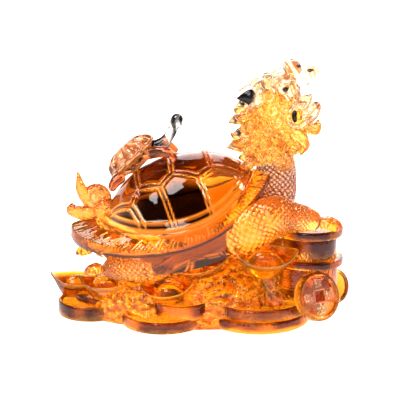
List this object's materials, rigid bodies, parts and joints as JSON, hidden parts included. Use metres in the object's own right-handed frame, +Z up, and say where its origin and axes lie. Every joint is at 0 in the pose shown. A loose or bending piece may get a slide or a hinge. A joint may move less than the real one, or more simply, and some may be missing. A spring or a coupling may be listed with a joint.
{
  "type": "dragon turtle figure",
  "caption": "Cast amber glass dragon turtle with a young turtle on its back, standing on a heap of coins and boat-shaped ingots; a tabletop ornament.",
  "frame": {"origin": "centre of the flat underside of the heap", "axes": "+Z up, +X from the tail towards the dragon's head, +Y to the figure's left"},
  "size_m": [0.1523, 0.0843, 0.1266],
  "materials": {
    "amber_glass": "polished, clear"
  },
  "bodies": {
    "root": {"dragon_turtle": "amber_glass"}
  },
  "joints": []
}
